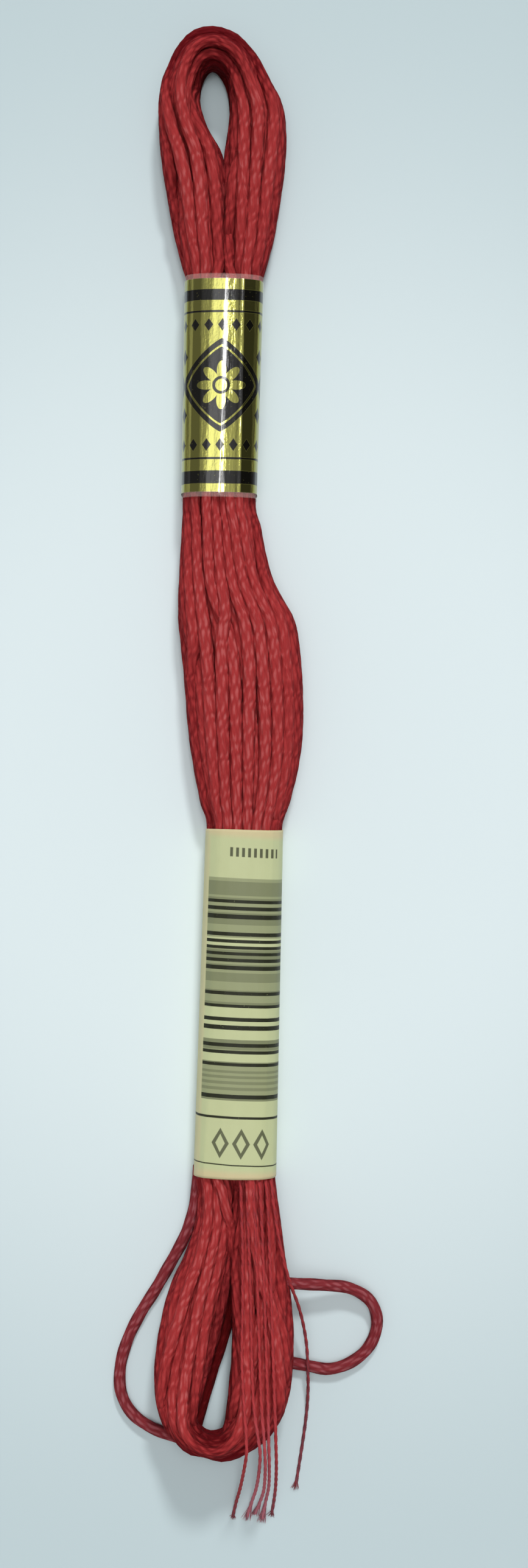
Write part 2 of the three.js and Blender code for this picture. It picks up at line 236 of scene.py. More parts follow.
strandRoutes = [
    [
        (-2.7, -45.3, 5.4), (-2.6, -46.9, 5.95), (-2.5, -50.0, 6.2), (-2.4, -52.5, 6.5),
        (-2.4, -55.0, 6.65), (-2.4, -58.0, 6.9), (-2.45, -61.0, 7.3), (-2.5, -64.0, 7.8),
        (-2.4, -67.0, 8.7), (-2.2, -70.0, 9.75), (-2.0, -72.5, 10.47), (-1.95, -74.6, 10.78),
        (-2.2, -76.8, 9.1), (-2.7, -80.2, 5.2), (-3.2, -82.8, 2.1), (-3.6, -85.0, strandRest),
    ],
    [
        (-1.98, -45.3, 5.7), (-1.9, -46.9, 6.2), (-1.8, -50.0, 6.5), (-1.7, -52.5, 6.7),
        (-1.6, -55.0, 6.9), (-1.5, -58.0, 7.2), (-1.45, -61.0, 7.6), (-1.4, -64.0, 8.15),
        (-1.3, -67.0, 8.9), (-1.1, -70.0, 9.9), (-0.75, -72.5, 10.3), (-0.45, -74.6, 10.0),
        (-0.5, -76.8, 8.8), (-0.85, -80.2, 5.0), (-1.4, -82.8, 2.0), (-2.0, -85.2, strandRest),
    ],
    [
        (-1.26, -45.3, 5.75), (-1.15, -46.9, 6.5), (-1.0, -50.0, 6.8), (-0.9, -52.5, 7.05),
        (-0.8, -55.0, 7.25), (-0.7, -58.0, 7.5), (-0.6, -61.0, 7.9), (-0.5, -64.0, 8.45),
        (-0.4, -67.0, 9.2), (-0.25, -70.0, 10.15), (-0.05, -72.5, 10.6), (0.1, -74.6, 10.55),
        (0.15, -76.8, 9.6), (0.0, -80.2, 5.7), (-0.5, -82.8, 2.4), (-1.1, -84.8, strandRest),
    ],
    [
        (-0.54, -45.33, 5.55), (-0.4, -46.9, 6.6), (-0.25, -50.0, 6.85), (-0.15, -52.5, 7.05),
        (-0.05, -55.0, 7.25), (0.05, -58.0, 7.55), (0.15, -61.0, 7.95), (0.25, -64.0, 8.45),
        (0.35, -67.0, 9.1), (0.45, -70.0, 9.7), (0.5, -72.5, 9.75), (0.55, -74.6, 9.45),
        (0.6, -76.8, 8.4), (0.55, -80.2, 4.7), (0.2, -82.8, 1.9), (-0.2, -85.4, strandRest),
    ],
    [
        (0.18, -45.33, 5.15), (0.35, -46.9, 6.15), (0.5, -50.0, 6.4), (0.6, -52.5, 6.8),
        (0.7, -55.0, 7.1), (0.8, -58.0, 7.5), (0.9, -61.0, 7.9), (1.0, -64.0, 8.4),
        (1.1, -67.0, 8.85), (1.2, -70.0, 9.3), (1.3, -72.5, 9.2), (1.35, -74.6, 8.6),
        (1.4, -76.8, 7.3), (1.35, -80.2, 4.1), (1.15, -82.8, 1.6), (0.9, -84.7, strandRest),
    ],
    [
        (0.8, -45.3, 4.75), (1.0, -47.2, 5.85), (1.4, -50.0, 6.0), (1.85, -52.5, 6.05),
        (2.4, -54.8, 5.95), (3.1, -57.2, 5.2), (3.9, -59.6, 4.2), (4.5, -62.0, 3.3),
        (4.9, -64.6, 2.5), (5.05, -67.3, 2.0), (5.1, -69.8, 1.2), (5.0, -72.3, 0.45),
        (4.75, -74.6, strandRest), (4.4, -77.0, strandRest), (4.05, -79.2, strandRest),
        (3.7, -81.4, strandRest),
    ],
]


def runOn(path, tuck, step):
    # the path and so many mm more, straight on past its last point
    away = (path[-1] - path[-2]) / np.linalg.norm(path[-1] - path[-2])
    return np.vstack([path, path[-1] + away * np.arange(1, round(tuck / step) + 1)[:, None] * step])


def makeCord(name, node, route, s, farEnd, number=0):
    # along the route's smooth curve, run on by its tucks at the two ends
    path = smoothCurve(route, s["step"])
    path = runOn(path[::-1], s["tuck"][0], s["step"])[::-1]
    path = runOn(path, s["tuck"][1], s["step"])
    radius = s["diameter"] / 2
    path[:, 2] = np.maximum(path[:, 2], radius)
    length = lengthsAlong(path)
    pale = np.clip(1 - (length[-1] - length) / s["paleEnd"], 0, 1) * s["pale"][number]
    # painted shade: the lower a cord lies, the deeper its colour
    high = np.clip((path[:, 2] - radius) / s["shadedBelow"], 0, mostLit)
    mesh = threadMesh(path, np.full(len(path), radius), s, {"tip": pale, "high": high})
    piece = threadPiece(name, [mesh], node)
    tips = [makeTip(name + "_tip", path, s, number)] if farEnd == "bare" else []
    return [piece] + tips


def makeTip(name, path, s, number):
    # Fine fibres that part from the strand before its cut end. Each goes on along its line and leaves
    # it by the square of the share of its own length
    rng = np.random.default_rng(s["seed"] + len(path))
    away = path[-1] - path[-5]  # over its last millimetre
    away /= np.linalg.norm(away)
    side = np.cross(away, [0, 0, 1])
    length = lengthsAlong(path)
    t = np.linspace(0, 1, s["rings"])
    values = {"tip": np.full(len(t), s["pale"][number]), "high": np.full(len(t), s["height"])}
    thickness, taper = s["fibre"]
    reaches = rng.uniform(*s["past"], s["fibres"])
    spreads = rng.normal(size=s["fibres"])
    lifts = rng.uniform(*s["lift"], s["fibres"])
    starts = rng.uniform(*s["partsAt"], s["fibres"])
    meshes = []
    for reach, spread, lift, start in zip(reaches, spreads, lifts, starts):
        back = s["back"][number] * start
        along = t * (reach + back) - back
        line = np.stack([np.interp(length[-1] + along, length, column) for column in path.T], axis=1)
        line = line + away * np.maximum(along, 0)[:, None]
        line = line + (side * spread + np.array([0, 0, lift])) * s["spread"][number] * t[:, None] ** 2
        line[:, 2] = np.maximum(line[:, 2], s["lowest"])
        meshes.append(threadMesh(line, thickness * (1 - taper * t), fibreSettings, values))
    return threadPiece(name, meshes)


looseTurn = makeCord("looseTurn", "loose_turn", looseTurnRoute, threadSettings, "object")
strands = []
for i, route in enumerate(strandRoutes):
    strands += makeCord(f"freeStrand_{i + 1}", f"strand_{i + 1}", route, strandSettings, "bare", i)
print("cords are laid")


# Cross-sections, in mm: left edge, right edge, low and high. Left is the outside of each loop
trunkSections = [
    (-7.95, -44.9, 1.25, -44.9, 0.14, 6.25),
    (-7.15, -22.0, 1.7, -22.0, 0.14, 6.3),
    (-6.6, -5.2, 2.1, -5.2, 0.14, 6.35),
    (-7.0, -3.4, 2.65, -3.4, 0, 6.5),
    (-7.4, -1.8, 3.05, -1.8, 0, 6.6),
    (-8.1, 1.8, 3.95, 1.8, 0, 6.8),
    (-8.75, 6.3, 4.5, 6.3, 0, 7.1),
    (-9.25, 12.6, 4.4, 12.6, 0, 7.2),
    (-9.8, 18.0, 3.75, 18.0, 0, 7.2),
    (-9.9, 20.0, 2.8, 20.0, 0, 7.2),
    (-9.8, 23.3, 1.1, 23.3, 0, 7.0),
    (-9.6, 26.9, 0.15, 26.9, 0, 6.8),
    (-9.4, 30.4, -0.5, 30.4, 0.1, 6.6),
    (-9.35, 32.6, -0.95, 32.6, 0.14, 6.35),
    (-9.2, 45.0, -0.6, 45.0, 0.14, 6.4),
    (-8.95, 57.9, -0.15, 57.9, 0.14, 6.45),
]
upperLoopSections = [
    (-8.95, 57.9, -4.15, 57.9, 0.14, 6.4),
    (-9.6, 60.2, -4.1, 60.2, 0, 6.5),
    (-10.4, 63.4, -4.1, 63.4, 0, 6.6),
    (-11.15, 67.5, -4.15, 68.0, 0, 6.8),
    (-11.8, 71.6, -4.75, 72.2, 0, 7.0),
    (-12.1, 75.5, -6.45, 75.2, 0, 7.2),
    (-12.0, 79.3, -7.35, 78.3, 0, 7.4),
    (-10.9, 82.8, -7.1, 80.8, 0, 7.5),
    (-9.0, 85.6, -6.45, 81.9, 0, 7.6),
    (-6.2, 86.7, -5.6, 82.1, 0, 7.6),
    (-3.1, 85.8, -4.75, 81.7, 0, 7.6),
    (-0.7, 83.3, -4.15, 80.8, 0, 7.4),
    (0.85, 80.5, -3.95, 79.0, 0, 7.2),
    (2.25, 77.6, -3.95, 77.0, 0, 7.0),
    (2.6, 74.2, -4.3, 74.2, 0, 6.8),
    (2.4, 70.5, -4.75, 70.9, 0, 6.6),
    (1.8, 66.3, -4.8, 66.5, 0, 6.5),
    (1.2, 62.8, -4.9, 62.9, 0, 6.5),
    (0.5, 60.2, -4.9, 60.2, 0, 6.5),
    (-0.15, 57.9, -4.9, 57.9, 0.14, 6.4),
]
lowerLoopSections = [
    (1.25, -44.9, -3.6, -44.9, 0.14, 6.2),
    (1.55, -47.4, -3.7, -47.4, 0.1, 6.7),
    (1.95, -50.3, -3.8, -50.5, 0.1, 6.95),
    (2.4, -53.8, -3.9, -54.5, 0.4, 7.25),
    (3.0, -57.8, -3.8, -58.5, 1.0, 7.6),
    (3.4, -62.2, -3.65, -62.5, 1.7, 8.2),
    (3.35, -66.2, -3.8, -66.0, 2.05, 8.9),
    (2.85, -69.8, -4.1, -69.0, 2.3, 9.5),
    (1.4, -73.2, -4.4, -71.8, 2.45, 10.0),
    (-1.4, -75.6, -4.8, -73.3, 2.5, 10.2),
    (-5.2, -76.8, -5.7, -73.9, 2.5, 10.3),
    (-8.6, -75.8, -6.9, -73.5, 2.5, 10.2),
    (-11.2, -73.6, -7.6, -72.1, 2.45, 9.7),
    (-12.4, -70.0, -7.05, -70.0, 2.3, 8.9),
    (-12.5, -66.0, -6.0, -66.4, 2.05, 8.0),
    (-11.9, -61.8, -4.9, -62.7, 1.6, 7.3),
    (-10.8, -57.6, -4.0, -58.7, 1.0, 6.8),
    (-9.1, -54.0, -3.3, -54.5, 0.4, 6.5),
    (-7.9, -50.3, -2.9, -50.5, 0.1, 6.3),
    (-7.7, -47.2, -3.0, -47.2, 0.1, 6.3),
    (-7.95, -44.9, -3.0, -44.9, 0.14, 6.2),
]

hankSettings = {
    "turnsPerRow": (4, 5, 6, 5, 4),  # slots in a leg's section, from the underside up
    "spacing": 1.35,  # mm between cross-sections
    "squareness": 2.3,  # power of the outline's rounding, 2 for an ellipse
    "fullness": 0.58,  # share of the section's height at which it is widest, from the top
    "filled": 0.87,  # share of the section's box that is inside its rounded outline
    "packing": 0.866,  # what one thread takes up there, as a share of its spacing's square
    "tightness": 1.05,  # thread spacing, as a share of what just fills the section
    "evened": 5,  # cross-sections over which that spacing is averaged
    "overlap": 1.05,  # thread diameter, as a share of that spacing
    "wander": 0.42,  # mm
    "wanderLength": 24.0,  # mm over which it stays much the same
    "wanderReach": 30,  # cross-sections each way that it is blended from
    "rounds": 150,  # pushes apart
    "eases": 9,  # smoothings along the thread before each of them
    "push": 0.3,  # share of what is missing between two threads that each one moves
    "seed": 7,
    "shadedBelow": 0.85,  # share of the section's height up to which its colour is painted deeper, as shade
    "edgeShade": (0.4, 1.5),  # how much painted shade deepens it at the section's two sides, and the mm that takes
    "endShade": ((78.0, 86.0, 1.0), (-72.0, -76.8, 1.05)),  # painted shade at each loop's end: from, to, how much
    "finer": 2,  # rings for each cross-section
    "pieces": 4,
    "shared": 3,  # rings that each piece has in common with the next
}


def loopStations(s):
    # The hank as one round trip: up the trunk on the left, over the upper loop, down the trunk on the
    # right, under the lower loop. a is a section's outer edge, b its inner one, or in the trunk the
    # far one, because both runs share its section. The length that counts is that of its middle
    centre = np.zeros((6, 3))
    centre[[0, 2], 0] = centre[[1, 3], 1] = centre[[4, 5], 2] = 0.5
    trunk, upper, lower = (smoothCurve(rows, s["spacing"], centre)
                           for rows in (trunkSections, upperLoopSections, lowerLoopSections))
    down = trunk[::-1][:, [2, 3, 0, 1, 4, 5]]
    rows = np.vstack([trunk, upper[1:-1], down, lower[1:-1]])
    counts = [len(trunk), len(upper) - 2, len(trunk), len(lower) - 2]
    inTrunk = np.repeat([True, False, True, False], counts)
    return rows[:, 0:2], rows[:, 2:4], np.maximum(rows[:, 4], 0), rows[:, 5], inTrunk, counts


def slotsOf(turnsPerRow):
    # each turn's slot in a leg's section: from -1 to 1 across, and from 0 to 1 up, to and fro in rows
    slots = []
    for row, columns in enumerate(turnsPerRow):
        across = (np.arange(columns) - (columns - 1) / 2) * 2 / max(turnsPerRow)
        slots += [(place, (row + 0.5) / len(turnsPerRow)) for place in across[::(-1) ** row]]
    return np.array(slots + [slots[-1]])


def windHank(s):
    # Every turn starts in its slot and drifts to the next turn's slot by the end of its round trip.
    # A random wander is added, and then each section settles: each thread is drawn towards the mean
    # of its places before and after, threads closer than their spacing move apart, and all of them
    # stay in the section's outline. t is mm across a section, z mm up, for each section and turn
    rng = np.random.default_rng(s["seed"])
    a, b, low, high, inTrunk, counts = loopStations(s)
    count, turns = len(a), sum(s["turnsPerRow"])
    width = np.linalg.norm(b - a, axis=1)
    axis = (b - a) / width[:, None]
    slots = slotsOf(s["turnsPerRow"])
    part = np.linspace(0, 1, count)[:, None, None]
    slot = slots[None, :-1] * (1 - part) + slots[None, 1:] * part
    ownWidth = width * np.where(inTrunk, 0.5, 1.0)
    t = ownWidth[:, None] * (1 + slot[..., 0]) / 2
    z = low[:, None] + (high - low)[:, None] * slot[..., 1]
    wander = rng.normal(size=(2, turns * count))
    reach = s["wanderReach"]
    # a bell curve along the thread, so that the wander changes slowly
    kernel = np.exp(-0.5 * (np.arange(-reach, reach + 1) * s["spacing"] / s["wanderLength"]) ** 2)
    kernel /= np.sqrt((kernel**2).sum())
    wander = np.stack([np.convolve(row, kernel, mode="same") for row in wander]) * s["wander"]
    wander = wander.reshape(2, turns, count).transpose(0, 2, 1)
    t, z = t + wander[0], z + wander[1]

    # what just fills a section, where the trunk has room for both runs
    area = width * (high - low) * s["filled"] / np.where(inTrunk, 2 * turns, turns)
    spacing = np.sqrt(area / s["packing"]) * s["tightness"]
    evened = s["evened"]
    spacing = np.convolve(np.pad(spacing, evened // 2, mode="wrap"), np.ones(evened) / evened, mode="valid")
    radius = spacing * s["overlap"] / 2
    up = np.arange(counts[0])
    down = sum(counts[:3]) - 1 - up
    single = np.flatnonzero(~inTrunk)
    halfHeight = (high - low) * s["fullness"]
    middle = high - halfHeight

    def eased(value, start, scale):
        # Half its own place and half the mean of the two beside it along the thread, as shares of the
        # section, so that a thread keeps its place in it where the section widens
        share = (value - start) / scale
        before = np.vstack([np.roll(share[-1:], 1, axis=1), share[:-1]])
        after = np.vstack([share[1:], np.roll(share[:1], -1, axis=1)])
        before[0, 0] = share[0, 0]
        after[-1, -1] = share[-1, -1]
        return start + (0.5 * share + 0.25 * (before + after)) * scale

    def apart(x, z, reach):
        # for each thread the sum of its moves away from those closer than reach, by what is missing
        dx = x[:, :, None] - x[:, None, :]
        dz = z[:, :, None] - z[:, None, :]
        d = np.sqrt(dx**2 + dz**2) + 1e-9  # never nought
        push = np.clip(reach[:, None, None] - d, 0, None) * s["push"] / d
        return (dx * push).sum(2), (dz * push).sum(2)

    for turn in range(s["rounds"]):
        for again in range(s["eases"]):
            t = eased(t, 0, ownWidth[:, None])
            z = eased(z, low[:, None], (high - low)[:, None])
        # apart from each other, both runs together in the trunk
        dx, dz = np.zeros_like(t), np.zeros_like(z)
        dx[single], dz[single] = apart(t[single], z[single], spacing[single])
        both = np.concatenate([t[up], width[up][:, None] - t[down]], axis=1)
        bothZ = np.concatenate([z[up], z[down]], axis=1)
        px, pz = apart(both, bothZ, spacing[up])
        dx[up], dz[up] = px[:, :turns], pz[:, :turns]
        dx[down], dz[down] = -px[:, turns:], pz[:, turns:]
        t, z = t + dx, z + dz
        # inside the outline
        room = (width / 2 - radius)[:, None]
        c = np.clip((t - width[:, None] / 2) / room, -1, 1)
        t = width[:, None] / 2 + c * room
        bulge = (1 - np.abs(c) ** s["squareness"]) ** (1 / s["squareness"])
        tall = (halfHeight - radius)[:, None] * bulge
        z = np.clip(z, np.maximum(middle[:, None] - tall, (low + radius)[:, None]), middle[:, None] + tall)

    # painted shade: how light each place's colour is painted, less low down, at the sides and at the loops'
    # ends
    share = np.clip((z - low[:, None]) / (high - low)[:, None] / s["shadedBelow"], 0, 1)
    shade, reach = s["edgeShade"]
    inside = np.clip((np.minimum(t, width[:, None] - t) - radius[:, None]) / reach, 0, 1)
    share = share * (1 - shade * (1 - inside) ** 2)
    place = a[:, None, :] + axis[:, None, :] * t[..., None]
    for start, end, amount in s["endShade"]:
        share = share - amount * np.clip((place[..., 1] - start) / (end - start), 0, 1)
    place = np.concatenate([place, z[..., None]], axis=2)
    return place.transpose(1, 0, 2).reshape(-1, 3), np.tile(radius, turns), share.T.ravel()


def makeHank(s):
    # the wound places as one smooth thread, cut into pieces of like length
    # high is the painted light share that windHank gives each place, lower where it is painted in shade
    places, radius, high = windHank(s)
    path, t = curveThrough(places, s["finer"])
    radius, high = (np.interp(t, np.arange(len(places)), numbers) for numbers in (radius, high))
    length = lengthsAlong(path)
    print(f"the hank has {length[-1] / 1000:.2f} m of thread, from {2 * radius.min():.2f} mm thick "
          f"to {2 * radius.max():.2f} mm")
    cuts = np.linspace(0, len(path) - 1, s["pieces"] + 1).astype(int)
    pieces = []
    # each piece runs on into the next, so that their pointed ends are out of sight
    for i, (first, last) in enumerate(zip(cuts[:-1], np.minimum(cuts[1:] + s["shared"], len(path)))):
        values = {"high": high[first:last], "tip": np.zeros(last - first)}
        mesh = threadMesh(path[first:last], radius[first:last], threadSettings, values, length[first])
        pieces.append(threadPiece(f"hank_{i + 1}", [mesh], "skein"))
    return pieces


hank = makeHank(hankSettings)
print("hank is wound")


sagSettings = {
    "thickness": 0.92,  # share of the free thread's diameter
    "routes": {  # one below the lower loop's left side, and one inside the upper loop's bend, both coloured near black as painted shade
        "sagThread": [
            (-3.3, -55.5, 2.6), (-3.5, -58.5, 2.1), (-3.95, -61.2, 1.8), (-4.65, -63.9, 1.7),
            (-5.4, -66.2, 1.7), (-6.1, -68.3, 1.8), (-6.7, -70.3, 2.1), (-7.3, -72.2, 2.8),
            (-7.8, -74.0, 3.8),
        ],
        "innerThread": [
            (-8.2, 75.8, 1.6), (-8.1, 78.2, 1.4), (-7.8, 80.6, 1.2), (-7.1, 82.3, 1.2), (-6.0, 83.0, 1.2),
            (-4.9, 82.5, 1.2), (-4.0, 81.1, 1.2), (-3.5, 79.2, 1.2), (-3.3, 76.8, 1.4), (-3.2, 74.0, 1.6),
        ],
    },
}


def makeSag(name, route, thickness, s):
    # a thread that sags out of the hank and shows in its opening, coloured as if in full painted shade
    path = smoothCurve(route, s["step"])
    none = np.zeros(len(path))
    mesh = threadMesh(path, none + s["diameter"] * thickness / 2, s, {"high": none, "tip": none})
    return threadPiece(name, [mesh])


sagThreads = [makeSag(name, route, sagSettings["thickness"], threadSettings)
              for name, route in sagSettings["routes"].items()]


filmBand = {
    "bow": 0.73,  # the top's rounding, 1 for an ellipse, and the power that rounds its corners
    "corner": 10,
    "fullness": 0.56,  # share of its height at which it is widest, from the top
    "ends": ((-9.5, -0.8, 32.6, 6.5), (-9.1, 0.0, 57.9, 6.6)),  # left, right, along, high, in mm
    "wall": 0.06,
    "rest": 0.12,  # mm under the sheet, where its lap goes
    "lap": 3.0,  # mm of overlap underneath
    "seam": 1.6,  # mm from the middle of the underside to the lap
    # mm round from the middle of the top, lean, and flatness of the strip that follows
    "folds": ((-5.3, 0, 0.85), (-4.3, 0, 0.85), (-3.3, 0.1, 0.85), (-2.4, -0.1, 0.3), (-1.2, 0.15, 0.65),
              (0.05, 0.1, 0.85), (0.6, 0, 0.85), (1.75, -0.1, 0.85), (2.8, 0.1, 0.85), (3.6, -0.1, 0.85),
              (4.4, 0, 0.85), (5.3, 0, 0.85)),
    "ridges": ((2.35, 0.012, 0.1, 19.0), (1.4, 0.008, 0.1, 15.0)),  # pitch, height, sway and its length
    # place, lean, height and half width
    "creases": ((2.45, -0.1, 0.06, 0.4), (-2.4, -0.1, 0.05, 1.2), (-3.3, -0.1, 0.03, 0.5)),
    "edgeWave": 0.05,
    "tilt": 0.0,  # print's fall to the right, mm for each mm across
    "around": 200,
    "along": 110,
}
paperBand = {
    "bow": 0.85,
    "corner": 5,
    "fullness": 0.57,
    "ends": ((-8.1, 1.4, -44.9, 6.4), (-6.7, 2.2, -5.2, 6.5)),
    "wall": 0.12,
    "rest": 0.14,
    "lap": 4.0,
    "seam": -1.2,
    "folds": ((-4.6, 0, 0.5), (-3.4, 0.2, 0.5), (-1.6, -0.1, 0.5), (0.3, 0.3, 0.5), (2.1, -0.2, 0.5),
              (3.5, 0.1, 0.5), (4.6, 0, 0.5)),
    "ridges": ((3.1, 0.04, 0.4, 23.0), (5.3, 0.05, 0.8, 31.0)),
    "creases": ((-3.0, 0.3, 0.03, 0.6), (2.8, -0.3, 0.03, 0.7)),
    "edgeWave": 0.09,
    "tilt": 0.042,
    "around": 190,
    "along": 130,
}
wrapSettings = {
    "measured": 4001,  # places round a section, to go round it by length
    "lead": 1.0,  # mm over which a sheet rises onto its lap
    "lapGap": 0.01,  # mm between the two layers there
    "sharpness": 1.5,  # power of the ridges' crests
    "reliefFrom": 0.1,  # sine of the angle up from the side where the ridges start, and how much more
    "reliefOver": 0.5,
    "wave": (2.9, 3, 4),  # mm a radian along an edge, radians between the ends, power of its fall
}


def sectionOf(s, angle, part, grow):
    # A band's section, grown outwards: at each angle the reach where the side's share to the corner's
    # power and the bowed top's share to the same power add to one. part is 0 at the lower end, 1 at
    # the upper one. angle is one row for all parts, or a row for each
    first, last = np.array(s["ends"])
    left, right, along, high = (first + (last - first) * part[:, None]).T[:, :, None]
    half = high * s["fullness"]
    c, v = np.cos(angle), np.sin(angle)
    bowed = (s["bow"] * c) ** 2 + v**2
    reach = (np.abs(c) ** s["corner"] + bowed ** (s["corner"] / 2)) ** (-1 / s["corner"])
    widest = (1 + s["bow"] ** s["corner"]) ** (-1 / s["corner"])
    x = (left + right) / 2 + ((right - left) / 2 + grow) * c * reach / widest
    z = high - half + (half + grow) * v * reach
    return x, along + 0 * x, z


def reliefOf(s, w, u, along, side):
    # ridges: one less the sine's size, to a power, across swaying lines; creases: narrow tents
    relief = np.zeros((len(along), len(u)))
    for pitch, height, sway, swayLength in s["ridges"]:
        turns = (u[None, :] + sway * np.sin(2 * np.pi * along / swayLength)[:, None]) / pitch
        relief += height * (1 - np.abs(np.sin(np.pi * turns))) ** w["sharpness"]
    for at, lean, height, half in s["creases"]:
        relief += height * np.clip(1 - np.abs(u[None, :] - at - lean * side) / half, 0, 1)
    return relief


def wrapSheet(name, s, w, node):
    # The sheet starts underneath, goes once round and laps over its own start. On top it lies in
    # nearly flat strips between folds, with ridges and creases. Its UV is mm round from the middle of
    # the top, and mm along from the band's middle, with the print's tilt
    part = np.linspace(0, 1, s["along"])
    side = 2 * part[:, None] - 1
    dense = np.linspace(0, 2 * np.pi, w["measured"])
    x, _, z = sectionOf(s, dense[None, :], np.array([0.5]), 0)
    reach = lengthsAlong(np.stack([x[0], z[0]], axis=1))
    whole = reach[-1]
    top = np.interp(np.pi / 2, dense, reach)

    def angleAt(place):
        return np.interp((top - place) % whole, reach, dense)

    u = np.linspace(whole / 2 + s["seam"], -whole / 2 + s["seam"] - s["lap"], s["around"])
    angle = angleAt(u)[None, :]
    first, last = np.array(s["ends"])
    along = (part - 0.5) * (last[2] - first[2])
    lapping = np.clip((-whole / 2 + s["seam"] - u + w["lead"]) / w["lead"], 0, 1)
    lapping = (lapping * lapping * (3 - 2 * lapping))[None, :] * (s["wall"] + w["lapGap"])
    # the strip that each place is in, and its share of the way across
    at, lean, flatness = np.array(s["folds"]).T
    folds = at + lean * side
    strip = (u[None, :, None] >= folds[:, None, :]).sum(2)
    inStrip = (strip > 0) & (strip < len(at))
    before = np.take_along_axis(folds, np.clip(strip - 1, 0, len(at) - 1), 1)
    after = np.take_along_axis(folds, np.clip(strip, 0, len(at) - 1), 1)
    across = np.where(inStrip, (u - before) / np.where(inStrip, after - before, 1), 0)
    flat = inStrip * flatness[np.clip(strip - 1, 0, len(at) - 1)]
    relief = reliefOf(s, w, u, along, side)
    relief *= np.clip((np.sin(angle) - w["reliefFrom"]) / w["reliefOver"], 0, 1)
    waveLength, shift, power = w["wave"]
    wave = s["edgeWave"] * np.sin(u / waveLength + shift * np.sign(along)[:, None]) * side**power
    shells = []
    for inward in (0, s["wall"]):
        grow = relief + lapping - inward
        x, y, z = sectionOf(s, angle, part, grow)
        startX, _, startZ = sectionOf(s, angleAt(before), part, grow)
        endX, _, endZ = sectionOf(s, angleAt(after), part, grow)
        x = x + flat * (startX + (endX - startX) * across - x)
        z = z + flat * (startZ + (endZ - startZ) * across - z)
        z = np.maximum(z, s["rest"] - lapping + inward)
        shells.append(np.stack([x, y + wave, z], axis=2))
    verts = np.vstack([shell.reshape(-1, 3) for shell in shells])
    inside = s["along"] * s["around"]

    def rim(edge, turned):
        # from an edge of the outer shell to the same edge of the inner one
        quads = np.stack([edge[:-1], edge[1:], edge[1:] + inside, edge[:-1] + inside], axis=1)
        return quads[:, ::-1] if turned else quads

    outer, _, _ = gridQuads(s["along"], s["around"], s["around"] - 1)
    number = np.arange(inside).reshape(s["along"], s["around"])
    quads = np.vstack([outer, outer[:, ::-1] + inside, rim(number[0], True), rim(number[-1], False),
                       rim(number[:, 0], False), rim(number[:, -1], True)])
    middle = (first[:2].mean() + last[:2].mean()) / 2
    tilted = along[:, None] + s["tilt"] * (shells[0][..., 0] - middle)
    lay = np.stack([np.tile(u, (s["along"], 1)), tilted], axis=2)
    lay = np.vstack([lay.reshape(-1, 2)] * 2)
    return newPiece(name, toFrame(verts), quads, lay[quads], node)


film = wrapSheet("filmSleeve", filmBand, wrapSettings, "upper_band")
label = wrapSheet("paperSleeve", paperBand, wrapSettings, "lower_band")
print("bands are wrapped")


def join(socket, value):
    # a link from another node's output, or a plain value
    if isinstance(value, bpy.types.NodeSocket):
        socket.id_data.links.new(value, socket)
    else:
        socket.default_value = value


def treeOf(*values):
    # the node tree that those of the values that are sockets belong to
    return next(value.id_data for value in values if isinstance(value, bpy.types.NodeSocket))


def put(tree, kind, inputs=None, **settings):
    # a node with its settings, and values or other nodes' outputs in its inputs
    node = tree.nodes.new(kind)
    for key, value in settings.items():
        setattr(node, key, value)
    for key, value in (inputs or {}).items():
        join(node.inputs[key], value)
    return node


def calc(operation, *values, clamp=False):
    # one Math node, in the tree of its values
    node = put(treeOf(*values), "ShaderNodeMath", operation=operation, use_clamp=clamp)
    for socket, value in zip(node.inputs, values):
        join(socket, value)
    return node.outputs[0]


def inTurn(operation, total, *values):
    # the same operation on the total and each further value
    for value in values:
        total = calc(operation, total, value)
    return total


def plus(*values):
    return inTurn("ADD", *values)


def times(*values):
    return inTurn("MULTIPLY", *values)


def largest(*values):
    return inTurn("MAXIMUM", *values)


def minus(value, other):
    return calc("SUBTRACT", value, other)


def over(value, other):
    return calc("DIVIDE", value, other)


def size(value):
    # without its sign
    return calc("ABSOLUTE", value)


def lessShare(value, share):
    # what is left of one after this share of the value is taken off
    return minus(1.0, times(value, share))


def softEdge(inside, edge):
    # one where a place is well inside, nought where it is well outside, and half on the edge itself
    return calc("ADD", over(inside, edge), 0.5, clamp=True)


def blendColor(share, first, second):
    # the Mix node's colours are its sockets 6 and 7, and output 2
    return put(share.id_data, "ShaderNodeMix", {0: share, 6: first, 7: second}, data_type="RGBA").outputs[2]


def between(value, low, high, first=0.0, second=1.0):
    # from first to second, smoothly, as value goes from low to high
    span = {"Value": value, "From Min": low, "From Max": high, "To Min": first, "To Max": second}
    return put(value.id_data, "ShaderNodeMapRange", span, interpolation_type="SMOOTHSTEP").outputs["Result"]


def spotOf(x, y):
    # a place on the sheet, for the noises
    return put(x.id_data, "ShaderNodeCombineXYZ", {"X": x, "Y": y}).outputs[0]


def noise(spot, scale=1.0, detail=2.0, roughness=0.5):
    # soft blotches, so many of them in each unit of the spot's
    given = {"Vector": spot, "Scale": scale, "Detail": detail, "Roughness": roughness}
    return put(spot.id_data, "ShaderNodeTexNoise", given).outputs["Fac"]


def randomOf(number):
    # the same random share for the same number
    node = put(number.id_data, "ShaderNodeTexWhiteNoise", {"W": number}, noise_dimensions="1D")
    return node.outputs["Value"]


def ownValue(tree, name):
    # one of the numbers that a thread's mesh carries
    return put(tree, "ShaderNodeAttribute", attribute_name=name).outputs["Fac"]


def sheetPlace(tree):
    # the piece's own UV: across or round, and along
    lay = put(tree, "ShaderNodeUVMap", uv_map="lay")
    apart = put(tree, "ShaderNodeSeparateXYZ", {"Vector": lay.outputs[0]})
    return apart.outputs[0], apart.outputs[1]


